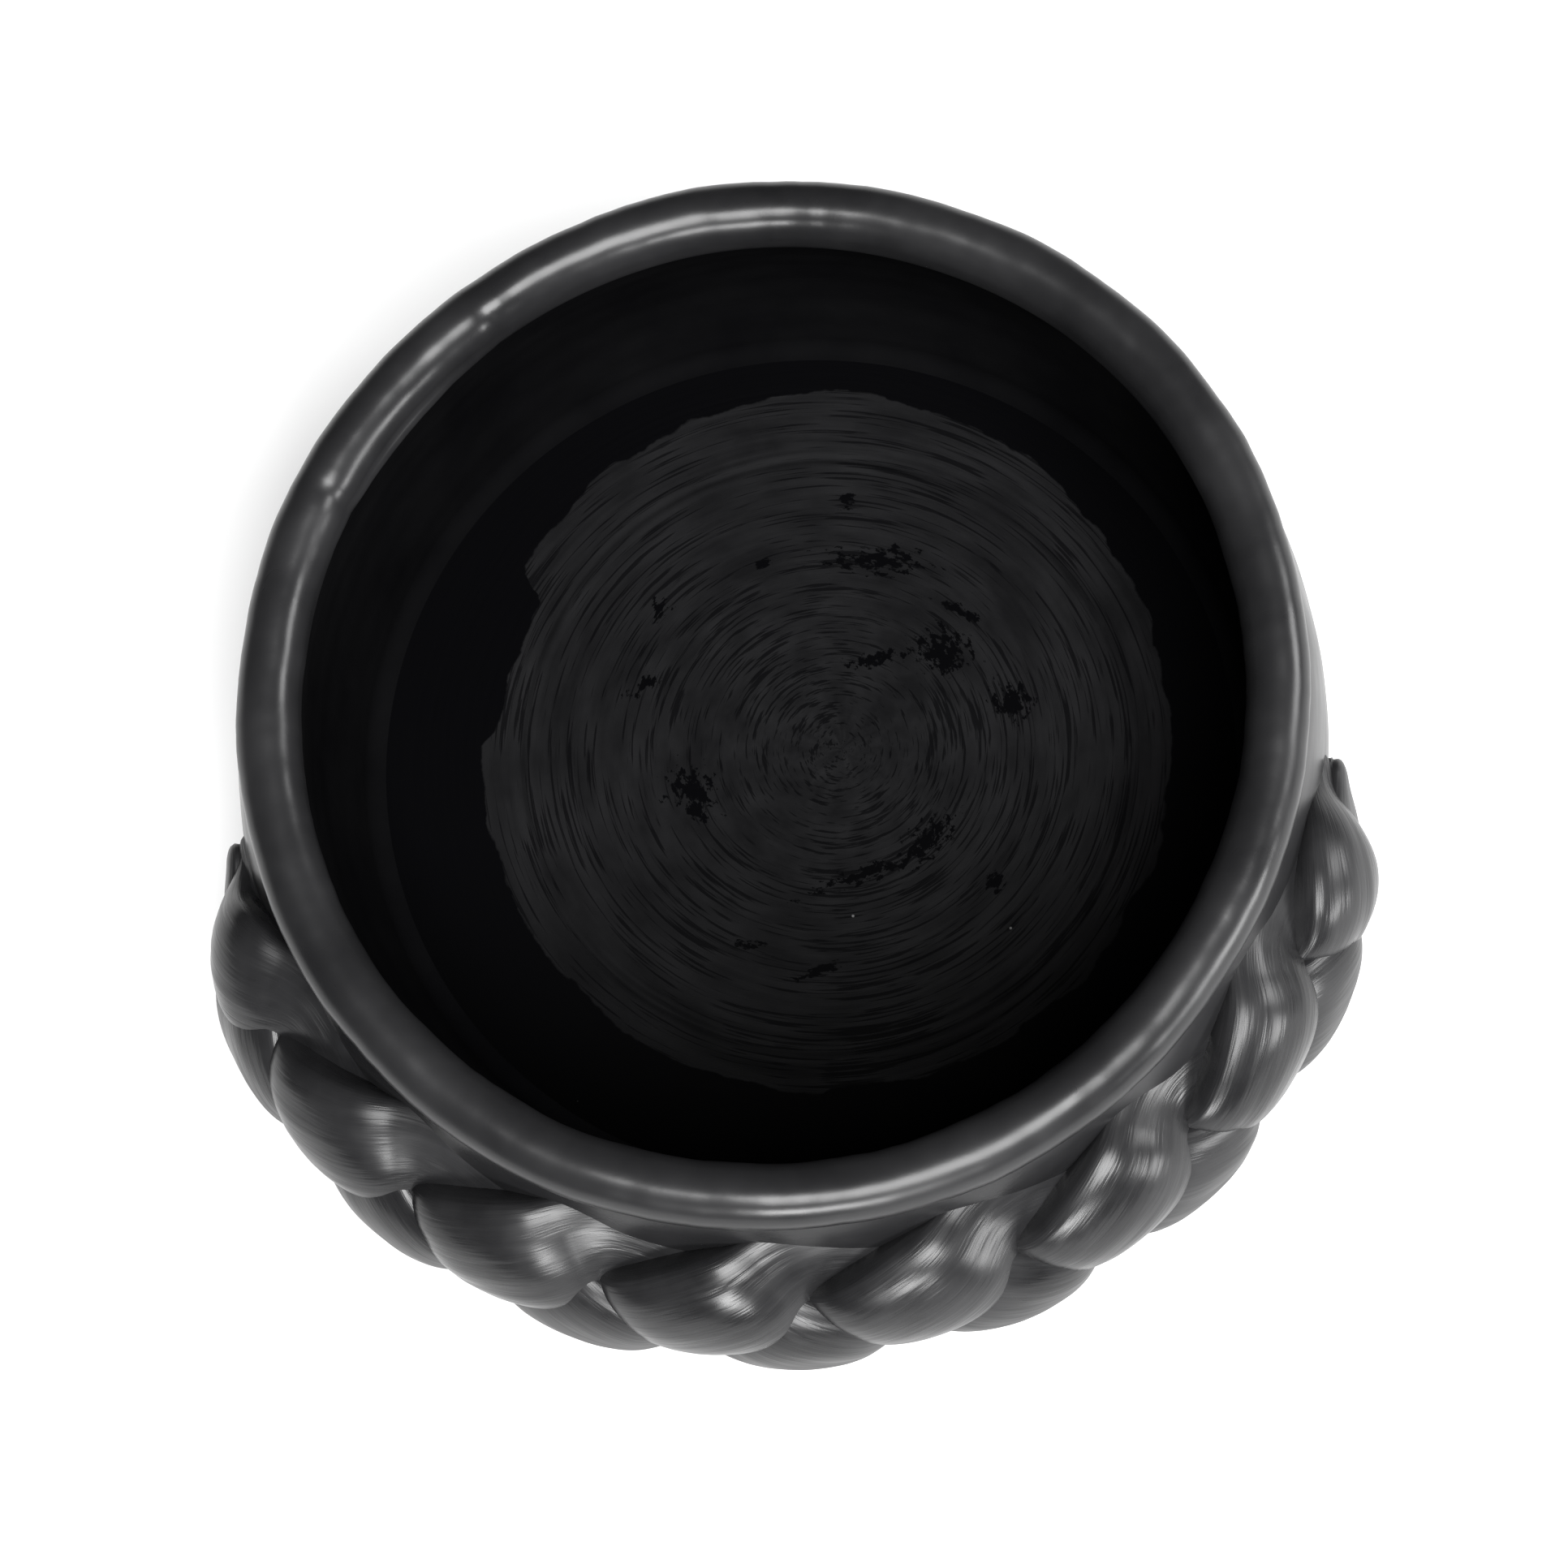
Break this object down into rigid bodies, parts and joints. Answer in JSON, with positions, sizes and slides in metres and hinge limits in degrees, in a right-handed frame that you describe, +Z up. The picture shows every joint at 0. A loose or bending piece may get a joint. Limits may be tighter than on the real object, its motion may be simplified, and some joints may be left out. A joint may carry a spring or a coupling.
{
  "type": "black clay pot",
  "caption": "Low wide burnished black clay pot with a rolled lip and a plait of clay straps luted round the front of its belly.",
  "frame": {"origin": "centre of the flat underside, on the surface that the pot stands on", "axes": "+Z up through the mouth, -Y towards the front, where the plait is, +X to the right of a viewer facing the front"},
  "size_m": [0.1285, 0.131, 0.05],
  "materials": {
    "matte_black_clay": "matte",
    "burnished_black_clay": "satin",
    "strap_black_clay": "satin"
  },
  "bodies": {
    "root": {"base_slab": "matte_black_clay", "wall": "burnished_black_clay", "rim_coil": "burnished_black_clay", "plait_strap_a": "strap_black_clay", "plait_strap_b": "strap_black_clay", "plait_strap_c": "strap_black_clay"}
  },
  "joints": []
}
